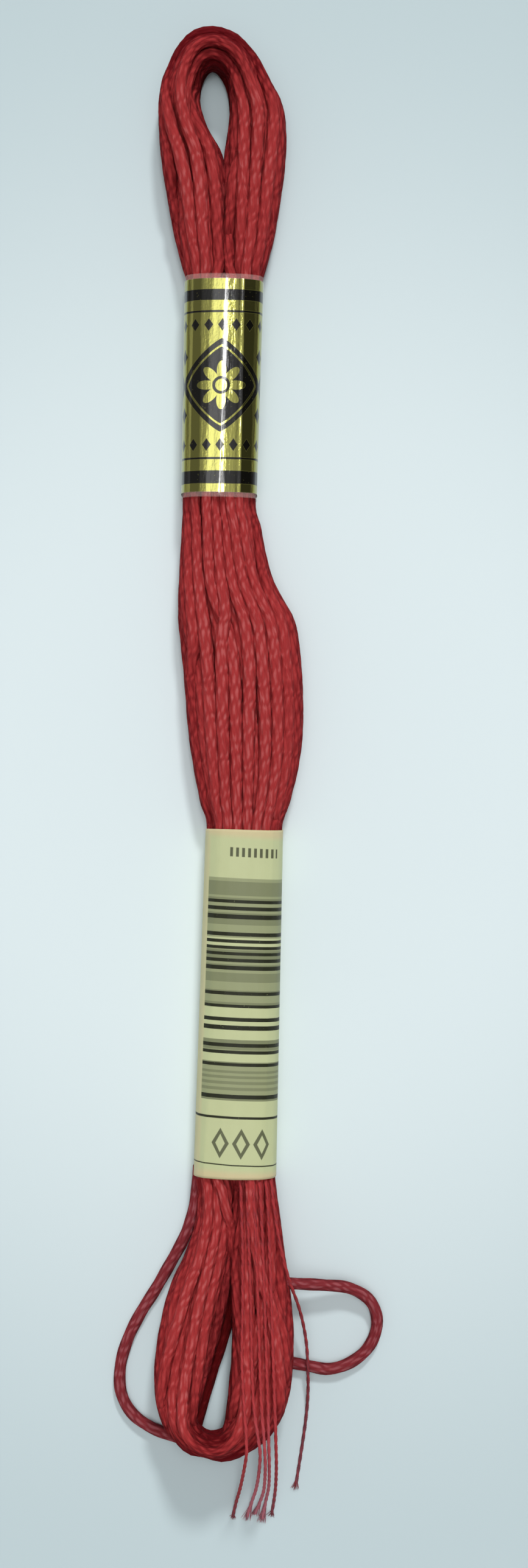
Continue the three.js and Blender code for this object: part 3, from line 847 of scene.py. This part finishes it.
def newGroup(name, inputs, outputs):
    # inputs: name and starting value, a number or a colour. outputs: names, all numbers but Color
    tree = bpy.data.node_groups.new(name, "ShaderNodeTree")
    for key, value in inputs.items():
        kind = "NodeSocketColor" if isinstance(value, tuple) else "NodeSocketFloat"
        tree.interface.new_socket(name=key, in_out="INPUT", socket_type=kind).default_value = value
    for key in outputs:
        kind = "NodeSocketColor" if key == "Color" else "NodeSocketFloat"
        tree.interface.new_socket(name=key, in_out="OUTPUT", socket_type=kind)
    return tree, tree.nodes.new("NodeGroupInput").outputs, tree.nodes.new("NodeGroupOutput").inputs


def useGroup(tree, group, values):
    # the shared group in this tree, with its own values
    node = tree.nodes.new("ShaderNodeGroup")
    node.node_tree = group
    for key, value in values.items():
        join(node.inputs[key], value)
    return node.outputs


def newMaterial(name, uniform):
    # a material and its Principled shader, with what is the same all over set on its own sockets
    material = bpy.data.materials.new(name)
    material.use_nodes = True
    shader = material.node_tree.nodes["Principled BSDF"]
    for key, value in uniform.items():
        shader.inputs[key].default_value = value
    return material, material.node_tree, shader.inputs


def bump(height, distance, strength):
    # the normal over a height of so many mm
    given = {"Height": height, "Distance": distance * mm, "Strength": strength}
    return put(height.id_data, "ShaderNodeBump", given).outputs["Normal"]


inkEdge = 0.06  # mm, how soft the edge of any print is


def makeStripeGroup():
    # one within its half width of a centre line, nought outside, with an edge that soft
    tree, given, result = newGroup("inkStripe", {"Place": 0.0, "Centre": 0.0, "Half": 1.0, "Edge": inkEdge},
                                   ["Mask"])
    away = size(minus(given["Place"], given["Centre"]))
    join(result["Mask"], softEdge(minus(given["Half"], away), given["Edge"]))
    return tree


def makeLozengeGroup():
    # lozenges in a row: the powers of the shares across and along add to less than one
    tree, given, result = newGroup(
        "inkLozenge", {"Across": 0.0, "Along": 0.0, "Pitch": 2.0, "Half Width": 1.0, "Half Height": 1.0,
                       "Power": 1.0, "Edge": inkEdge}, ["Mask", "Across"])
    half = over(given["Pitch"], 2.0)
    turned = calc("FLOORED_MODULO", plus(given["Across"], half), given["Pitch"])
    across = minus(turned, half)
    wide = calc("POWER", over(size(across), given["Half Width"]), given["Power"])
    tall = calc("POWER", over(size(given["Along"]), given["Half Height"]), given["Power"])
    inside = times(minus(1.0, plus(wide, tall)), given["Half Width"])
    join(result["Mask"], softEdge(inside, given["Edge"]))
    join(result["Across"], across)
    return tree


handledDetail = {
    "crease": (0.9, 0.16, 3.0, 0.6),  # times in a mm across and along, detail and roughness
    "crumple": (4.0, 0.65, 0.25),  # detail, roughness, and its height beside the creases'
    "rub": (2.6, 6.0, 0.75),  # times in a mm, detail and roughness
    "rubEdge": 0.04,
}


def makeHandledGroup(s):
    # what handling leaves on a thin sheet: long soft creases, a fine crumple, and rubbed specks where
    # a noise is over Rubbed
    tree, given, result = newGroup("handledSheet", {"Across": 0.0, "Along": 0.0, "Grain": 6.0, "Rubbed": 0.6},
                                   ["Height", "Specks"])
    spot = spotOf(given["Across"], given["Along"])
    across, along, detail, roughness = s["crease"]
    drawn = put(tree, "ShaderNodeMapping", {"Vector": spot, "Scale": (across, along, 1.0)}).outputs[0]
    crease = noise(drawn, 1.0, detail, roughness)
    detail, roughness, share = s["crumple"]
    crumple = noise(spot, given["Grain"], detail, roughness)
    join(result["Height"], plus(crease, times(crumple, share)))
    low = minus(given["Rubbed"], s["rubEdge"])
    join(result["Specks"], between(noise(spot, *s["rub"]), low, given["Rubbed"]))
    return tree


cottonDetail = {
    "sway": (0.35, 1.5),  # the plies' length sways: times in a mm, and by how many turns
    "slant": 0.22,  # mm that the fibres lean round the thread for each mm along
    "fibre": (9.0, 1.1, 3.0, 0.6),  # times in a mm round and along, detail and roughness
    "blot": (1.6, 0.8),  # blotches, times in a mm round and along
    "patch": 130.0,  # wider ones over the whole skein, times in a metre
    "valleyDash": 0.3,  # how much of the plies' painted light and shade shows in the valleys
    "top": (0.1, 0.95, -1.0, 0.25),  # facing up from, to, and the painted light that it takes and adds
    "weights": (0.32, 0.8, 0.5, 0.65),  # crests (painted shade in the valleys, light on the crests), fibres, patches and blotches in the colour
    "shadeAt": (-0.6, 0.6),  # sums at which its colour is the painted shade, and is its own
    "highlightAt": (0.5, 1.1),  # and from which it turns to the painted highlight, and is
    "relief": (0.7, 0.5),  # plies and fibres in the height
    "roughness": (0.3, 0.7, 0.8, 0.65),  # fibres from, to, and the roughness at the two
}


def makeCottonGroup(s):
    # Spun cotton on a thread: strands side by side round it, each of two plies that show as slanting
    #     dashes of painted light and shade, and fine fibres along them. The valleys between strands are
    #     painted deeper, as shade; places facing away from the top, low places and the hank's sides and ends
    #     are painted in shade, and the lightest places take a painted highlight
    tree, given, result = newGroup(
        "spunCotton", {"Color": (0.4, 0.05, 0.05, 1.0), "Painted Shade": (0.2, 0.01, 0.01, 1.0),
                       "Light": (0.6, 0.2, 0.2, 1.0), "Strands": 6.0, "Ply": 1.3, "Girth": 4.4,
                       "Dash": 0.5, "Painted Side Shade": 0.5, "Depth": 1.0, "Painted Highlight": 0.3, "Pale End": 0.0},
        ["Color", "Height", "Roughness"])
    turn, along = sheetPlace(tree)
    strand = times(turn, given["Strands"])
    shift = randomOf(calc("FLOOR", plus(strand, 0.5)))
    often, far = s["sway"]
    sway = put(tree, "ShaderNodeTexNoise", {"W": times(along, often), "Scale": 1.0, "Detail": 1.0},
               noise_dimensions="1D").outputs["Fac"]
    plies = plus(over(along, given["Ply"]), plus(strand, shift), times(sway, far))
    wave = calc("SINE", times(plies, math.pi))
    girth = times(turn, given["Girth"])
    lean = plus(girth, times(along, s["slant"]))
    byGirth, byLength, detail, roughness = s["fibre"]
    lie = spotOf(times(lean, byGirth), times(along, byLength))
    fibre = noise(lie, 1.0, detail, roughness)
    patch = noise(put(tree, "ShaderNodeTexCoord").outputs["Object"], s["patch"])
    byGirth, byLength = s["blot"]
    blot = noise(spotOf(times(girth, byGirth), times(along, byLength)))
    crest = ownValue(tree, "crest")
    # colour: from the painted shade, through the thread's own, to the painted highlight, by a sum of painted
    # light and shade (plies, crests, facing up, height) and random fibres, patches and blotches
    rise = times(minus(times(wave, wave), 0.5), plus(crest, s["valleyDash"]))
    lightAndTone = plus(0.5, times(rise, given["Dash"]),
               times(between(ownValue(tree, "top"), *s["top"]), given["Painted Side Shade"]),
               times(minus(ownValue(tree, "high"), 1.0), given["Depth"]))
    for value, weight in zip((crest, fibre, patch, blot), s["weights"]):
        lightAndTone = plus(lightAndTone, times(minus(value, 0.5), weight))
    color = blendColor(between(lightAndTone, *s["shadeAt"]), given["Painted Shade"], given["Color"])
    highlightShare = times(between(lightAndTone, *s["highlightAt"]), given["Painted Highlight"])
    color = blendColor(highlightShare, color, given["Light"])
    pale = times(ownValue(tree, "tip"), given["Pale End"])
    join(result["Color"], blendColor(pale, color, given["Light"]))
    plyHeight, fibreHeight = s["relief"]
    height = plus(times(rise, plyHeight), times(fibre, fibreHeight))
    join(result["Height"], height)
    join(result["Roughness"], between(fibre, *s["roughness"]))
    return tree


stripeGroup = makeStripeGroup()
lozengeGroup = makeLozengeGroup()
handledGroup = makeHandledGroup(handledDetail)
cottonGroup = makeCottonGroup(cottonDetail)


def stripe(place, centre, half):
    # one stripe's mask
    return useGroup(place.id_data, stripeGroup, {"Place": place, "Centre": centre, "Half": half})["Mask"]


def lozenges(across, along, *shape):
    # shape: pitch, half width, half height and power, as many of them as aren't the group's own
    given = dict(zip(("Pitch", "Half Width", "Half Height", "Power"), shape))
    return useGroup(across.id_data, lozengeGroup, {"Across": across, "Along": along, **given})


# the four cottons. Ply is the mm from dash to dash, Girth the mm round the thread
cottonFinish = {
    "hankCotton": {"Color": (0.415, 0.042, 0.043, 1), "Painted Shade": (0.135, 0.006, 0.009, 1),
                   "Light": (0.6, 0.165, 0.16, 1), "Strands": 6.0, "Ply": 1.35, "Girth": 4.4, "Dash": 0.4,
                   "Painted Side Shade": 0.3, "Depth": 0.9, "Painted Highlight": 0.6},
    # painted shade: the sagging threads are coloured near black, for the shade that they lie in
    "paintedShadeCotton": {"Color": (0.1, 0.004, 0.005, 1), "Painted Shade": (0.05, 0.001, 0.001, 1),
                  "Light": (0.2, 0.02, 0.02, 1), "Strands": 6.0, "Ply": 1.35, "Girth": 4.4, "Dash": 0.4,
                  "Painted Side Shade": 0.4, "Depth": 0.2, "Painted Highlight": 0.4},
    "turnCotton": {"Color": (0.235, 0.03, 0.037, 1), "Painted Shade": (0.07, 0.009, 0.012, 1),
                   "Light": (0.4, 0.13, 0.145, 1), "Strands": 6.0, "Ply": 1.35, "Girth": 4.4, "Dash": 0.5,
                   "Painted Side Shade": 0.5, "Depth": 0.0, "Painted Highlight": 0.6},
    "strandCotton": {"Color": (0.43, 0.045, 0.048, 1), "Painted Shade": (0.13, 0.04, 0.052, 1),
                     "Light": (0.62, 0.21, 0.26, 1), "Strands": 2.0, "Ply": 1.2, "Girth": 1.3, "Dash": 0.2,
                     "Painted Side Shade": 0.0, "Depth": 0.8, "Painted Highlight": 0.1, "Pale End": 0.85},
}
cottonShader = {"IOR": 1.45, "Specular IOR Level": 0.04, "Sheen Weight": 0.02,
                "Sheen Tint": (1.0, 0.5, 0.5, 1), "Subsurface Weight": 0.2,
                "Subsurface Radius": (1.0, 0.1, 0.1), "Subsurface Scale": 0.5 * mm}
cottonRelief = (0.12, 0.8)  # mm, and strength


def makeCotton(name, values):
    # the shared cotton in a soft shader with hardly any gloss, its shade and highlights painted in its colour
    material, tree, shader = newMaterial(name, cottonShader)
    cotton = useGroup(tree, cottonGroup, values)
    join(shader["Base Color"], cotton["Color"])
    join(shader["Roughness"], cotton["Roughness"])
    join(shader["Normal"], bump(cotton["Height"], *cottonRelief))
    return material


hankCotton, paintedShadeCotton, turnCotton, strandCotton = (makeCotton(*item) for item in cottonFinish.items())

filmPrint = {
    "shader": {"IOR": 1.5, "Specular IOR Level": 0.25, "Coat Weight": 0.5, "Coat Roughness": 0.04},
    "gold": (0.335, 0.325, 0.08, 1),
    "ink": (0.002, 0.0018, 0.0008, 1),
    "clear": (0.95, 0.65, 0.6, 1),  # past the print's two ends, a pale pink that paints the clear film's sheen
    "clearAlpha": 0.12,
    "stripes": ((10.25, 0.62), (-10.42, 0.73), (8.36, 0.12), (-8.29, 0.12)),  # place along, half width
    "printHalf": 12.1,  # mm from the middle to the print's two ends
    "field": (9.3, 4.75, 5.3, 1.25),  # pitch, half width, half height and power of the black lozenges
    "border": ((0.62, 0.7), (0.85, 0.96)),  # mm in from them to a gold line's outside, and to its inside
    "flower": (8, 2.75, 0.45, 0.08),  # petals, mm to their tips, share of that between them, soft edge
    "eye": (0.85, 0.16),  # mm to the black ring in the flower, and its half width
    "smallRows": (6.85, -6.75),  # place along
    "smallLozenge": (1.55, 0.5, 0.72),  # pitch, half width, half height
    "sideLozenge": (3.3, 0.62, 0.95),  # mm above and below the middle, half width, half height
    "handled": {"Grain": 3.0, "Rubbed": 0.66},
    "rubShare": 0.5,  # of the ink, where it is rubbed
    "roughness": (0.03, 0.05),  # the least, and how much more on creases
    "relief": (0.1, 0.4),  # mm, and strength
}


def makeFilmMaterial(s):
    # Metal where it shows through and black ink over it: stripes near both ends, a row of lozenges
    #     with an eight-petalled flower in each, a row of small ones above and below it, and two between
    #     each large one and the next. Past the print the film is clear, mostly see-through, and coloured a
    #     pale pink that paints its sheen
    material, tree, shader = newMaterial("goldFilm", s["shader"])
    across, along = sheetPlace(tree)
    ink = [stripe(along, centre, half) for centre, half in s["stripes"]]
    pitch, halfWidth, halfHeight, power = s["field"]
    field = lozenges(across, along, *s["field"])
    # a flower: nearer its middle than a rim that goes in and out with the cosine of the turn round it
    x = field["Across"]
    reach = calc("SQRT", plus(times(x, x), times(along, along)))
    petals, tip, waist, edge = s["flower"]
    lobe = size(calc("COSINE", times(calc("ARCTAN2", along, x), petals / 2)))
    rim = times(plus(times(lobe, 1 - waist), waist), tip)
    flower = softEdge(minus(rim, reach), edge)
    flower = times(flower, minus(1.0, stripe(reach, *s["eye"])))
    outside, inside = (lozenges(across, along, pitch, halfWidth - wide, halfHeight - tall, power)
                       for wide, tall in s["border"])
    gilt = largest(flower, minus(outside["Mask"], inside["Mask"]))
    ink.append(times(field["Mask"], minus(1.0, gilt)))
    for centre in s["smallRows"]:
        ink.append(lozenges(across, minus(along, centre), *s["smallLozenge"])["Mask"])
    centre, halfWidth, halfHeight = s["sideLozenge"]
    ink.append(lozenges(plus(across, pitch / 2), minus(size(along), centre), pitch,
                        halfWidth, halfHeight)["Mask"])
    handled = useGroup(tree, handledGroup, {"Across": across, "Along": along, **s["handled"]})
    inked = times(largest(*ink), lessShare(handled["Specks"], s["rubShare"]))
    printed = stripe(along, 0.0, s["printHalf"])
    color = blendColor(inked, s["gold"], s["ink"])
    join(shader["Base Color"], blendColor(printed, s["clear"], color))
    join(shader["Metallic"], times(printed, minus(1.0, inked)))
    least, more = s["roughness"]
    join(shader["Roughness"], plus(least, times(handled["Height"], more)))
    join(shader["Alpha"], between(printed, 0.0, 1.0, s["clearAlpha"], 1.0))
    join(shader["Normal"], bump(handled["Height"], *s["relief"]))
    return material


paperPrint = {
    "shader": {"IOR": 1.48, "Specular IOR Level": 0.35},
    "paper": (0.6, 0.65, 0.36, 1),
    "tinted": (0.72, 0.58, 0.34, 1),  # towards its two ends and left edge
    "tintEnds": (18.6, 19.5),  # mm from the middle where that starts, and is full
    "tintLeft": (-4.0, -4.6, 0.0, 0.6),  # mm across where it starts, and is full, and how much
    "tint": 0.8,
    "aged": (0.45, 0.46, 0.24, 1),
    "agedBy": 0.35,
    "pulp": (14.0, 4.0, 0.3),  # times in a mm, detail, and its share in the ageing
    "blot": (0.5, 2.0, 0.5),
    "ink": (0.016, 0.018, 0.005, 1),
    "greyInk": (0.19, 0.21, 0.11, 1),
    "greyShare": 0.9,
    "module": 0.42,  # mm, a bar
    "barZone": (1.65, 12.7),  # centre and half length, mm along
    "barsFrom": (-4.4, -4.3),  # mm across
    # size in modules, where its random numbers start, and the number over which a cell is inked
    "darkCells": (1, 77.5, 0.35),
    "greyCells": (4, 21.5, 0.4),
    "fineCells": (0.7, 3.5, 0.5),
    "fineShare": 0.3,  # how much the fine cells thin the grey
    "sway": 0.5,  # of a cell, in its place
    "rules": ((-12.85, 0.14), (-18.25, 0.07)),
    "dashRow": (17.3, 0.52),
    "dash": (0.7, 0.17),  # pitch and half width
    "dashSpan": (1.3, 3.0),  # centre and half length across
    "dashInk": 0.85,  # share of full ink
    "marks": (-15.8, 2.35, 0.62),  # place along, pitch, place across of the middle one
    "markShape": ((1.0, 1.75), (0.55, 1.05)),  # half width and half height, outside and inside
    "markCount": 3,
    "markInk": 0.8,
    "handled": {"Grain": 9.0, "Rubbed": 0.67},
    "rubShare": 0.5,
    "roughness": (0.3, 0.7, 0.6, 0.5),  # pulp from, to, and the roughness at the two
    "relief": (0.1, 0.5),
    "pulpRelief": 0.2,  # the pulp's height beside the creases'
}


def makePaperMaterial(s):
    # Bars of random width along the band, dark ones from fine cells and grey ones from coarse cells,
    # two rules, a row of dashes, and three open lozenges
    material, tree, shader = newMaterial("bandPaper", s["shader"])
    across, along = sheetPlace(tree)
    handled = useGroup(tree, handledGroup, {"Across": across, "Along": along, **s["handled"]})
    spot = spotOf(across, along)
    pulp, blot = (noise(spot, *s[key][:2]) for key in ("pulp", "blot"))

    def cells(modules, start, limit):
        # One in the cells whose random number is over the limit, and one in every other cell. The
        # cells' sizes sway a little
        long = s["module"] * modules
        swayed = plus(along, times(calc("SINE", along), long * s["sway"]))
        number = calc("FLOOR", over(swayed, long))
        some = calc("GREATER_THAN", randomOf(plus(number, start)), limit)
        return some, calc("MODULO", size(number), 2.0)

    zone = times(stripe(along, *s["barZone"]), between(across, *s["barsFrom"]))
    dark = times(zone, times(*cells(*s["darkCells"])))
    grey = times(zone, cells(*s["greyCells"])[0])
    grey = times(grey, lessShare(cells(*s["fineCells"])[0], s["fineShare"]))
    ink = [dark] + [stripe(along, centre, half) for centre, half in s["rules"]]
    dashes = lozenges(across, 0.0, *s["dash"])["Mask"]
    span = times(stripe(across, *s["dashSpan"]), s["dashInk"])
    ink.append(times(stripe(along, *s["dashRow"]), dashes, span))
    centre, pitch, middle = s["marks"]
    x = minus(across, middle)
    y = minus(along, centre)
    outside, inside = (lozenges(x, y, pitch, wide, tall)["Mask"] for wide, tall in s["markShape"])
    marked = times(stripe(x, 0.0, pitch * s["markCount"] / 2), s["markInk"])
    ink.append(times(minus(outside, inside), marked))
    inked = times(largest(*ink), lessShare(handled["Specks"], s["rubShare"]))
    ends = between(size(along), *s["tintEnds"])
    edges = largest(ends, between(across, *s["tintLeft"]))
    color = blendColor(times(edges, s["tint"]), s["paper"], s["tinted"])
    age = plus(times(pulp, s["pulp"][2]), times(blot, s["blot"][2]))
    color = blendColor(times(age, s["agedBy"]), color, s["aged"])
    color = blendColor(times(grey, s["greyShare"]), color, s["greyInk"])
    join(shader["Base Color"], blendColor(inked, color, s["ink"]))
    join(shader["Roughness"], between(pulp, *s["roughness"]))
    height = plus(handled["Height"], times(pulp, s["pulpRelief"]))
    join(shader["Normal"], bump(height, *s["relief"]))
    return material


goldFilm = makeFilmMaterial(filmPrint)
bandPaper = makePaperMaterial(paperPrint)
finishes = ((hank, hankCotton), (sagThreads, paintedShadeCotton), (looseTurn, turnCotton), (strands, strandCotton),
            ([film], goldFilm), ([label], bandPaper))
for pieces, finish in finishes:
    for piece in pieces:
        piece.data.materials.append(finish)
print("finishes are on")


# table, lamps and sky. Each of the sky's pairs and fours is: from, to, and the values at the two
stageSettings = {
    "tableSize": 3,  # m from its middle to each side
    "tableShader": {"Roughness": 0.75, "Specular IOR Level": 0.2},
    # painted light on the table: a bright pool in the middle, a darker ring round it, and a lighter colour
    # far off
    "tablePoolOfLight": (0.8, 0.91, 0.935, 1),
    "tableShadedRing": (0.575, 0.695, 0.725, 1),
    "tableFar": (0.78, 0.88, 0.9, 1),
    "tableCentre": (0.004, -0.003, 0),
    "tablePoolFade": (0.028, 0.1, 0.2, 1.0),  # m from the centre, for the first and the second change of the painted light
    "keyPlace": (0.2, 1.03, 0.9),
    "keyPower": 1.26,
    "keyAngle": 8,  # degrees that the key light is across
    "stripPlace": (0.055, 0.15, 1.0),
    "stripSize": (0.04, 0.36),
    "stripPower": 1.55,
    "skyLow": 0.25,  # strength all round, and how much more in the disc overhead
    "skyRise": 2.3,
    "discAxis": (0.122, 0, 0.9925),
    "discEdge": (0.9, 0.955),  # cosine of the angle from that axis
    "discFall": (0.0, 0.24, 1.0, 0.25),  # by how far to the right a place in the sky is
    "haloEdge": (0.74, 0.92),
    "haloFall": (0.0, 0.2, 0.4, 0.0),
    "cardAcross": (0.26, 0.5, 0.0, 0.7),  # a dark card at the right, by how far right, along and up
    "cardAlong": (0.2, 0.35, 1.0, 0.0),
    "cardLow": (0.06, 0.14),
    "horizon": (0.2, 0.34, 0.36, 0.0),  # more strength low down, by how far up
}


def makeTable(s):
    # flat, with painted light in its colour: a bright pool round the hank's middle, darker further out, and
    # lighter again far off
    mesh = bpy.data.meshes.new("table")
    far = s["tableSize"]
    mesh.from_pydata([(-far, -far, 0), (far, -far, 0), (far, far, 0), (-far, far, 0)], [], [(0, 1, 2, 3)])
    table = bpy.data.objects.new("table", mesh)
    bpy.context.scene.collection.objects.link(table)
    material, tree, shader = newMaterial("tableTop", s["tableShader"])
    where = put(tree, "ShaderNodeTexCoord").outputs["Object"]
    away = put(tree, "ShaderNodeVectorMath", {0: where, 1: s["tableCentre"]}, operation="DISTANCE")
    near, wide = (between(away.outputs["Value"], *s["tablePoolFade"][i:i + 2]) for i in (0, 2))
    color = blendColor(near, s["tablePoolOfLight"], s["tableShadedRing"])
    join(shader["Base Color"], blendColor(wide, color, s["tableFar"]))
    mesh.materials.append(material)


def makeLight(name, kind, spot, power, **settings):
    # a lamp that faces the middle of the table
    data = bpy.data.lights.new(name, kind)
    data.energy = power
    for key, value in settings.items():
        setattr(data, key, value)
    lamp = bpy.data.objects.new(name, data)
    lamp.location = spot
    lamp.rotation_euler = lamp.location.to_track_quat("Z", "Y").to_euler()
    bpy.context.scene.collection.objects.link(lamp)


def makeSky(s):
    # A white sky, brighter low down, with a bright disc overhead and a faint halo round it, which both
    # dim towards the right, and a dark card further that way
    world = bpy.data.worlds.new("sky")
    world.use_nodes = True
    tree = world.node_tree
    sky = tree.nodes["Background"]
    sky.inputs["Color"].default_value = (1, 1, 1, 1)
    way = put(tree, "ShaderNodeTexCoord").outputs["Generated"]
    toAxis = put(tree, "ShaderNodeVectorMath", {0: way, 1: s["discAxis"]}, operation="DOT_PRODUCT")
    toAxis = toAxis.outputs["Value"]
    right, along, up = put(tree, "ShaderNodeSeparateXYZ", {"Vector": way}).outputs
    disc = times(between(toAxis, *s["discEdge"]), between(right, *s["discFall"]))
    halo = times(between(toAxis, *s["haloEdge"]), between(right, *s["haloFall"]))
    low = between(up, *s["horizon"])
    strength = plus(times(disc, s["skyRise"]), halo, s["skyLow"], low)
    card = times(between(right, *s["cardAcross"]),
                 between(size(along), *s["cardAlong"]), between(up, *s["cardLow"]))
    join(sky.inputs["Strength"], times(strength, minus(1.0, card)))
    bpy.context.scene.world = world


makeTable(stageSettings)
makeLight("key", "SUN", stageSettings["keyPlace"], stageSettings["keyPower"],
          angle=math.radians(stageSettings["keyAngle"]))
stripWide, stripLong = stageSettings["stripSize"]
makeLight("strip", "AREA", stageSettings["stripPlace"], stageSettings["stripPower"], shape="RECTANGLE",
          size=stripWide, size_y=stripLong)
makeSky(stageSettings)
bpy.context.scene.view_settings.view_transform = "Standard"
print("table, lamps and sky are in place")
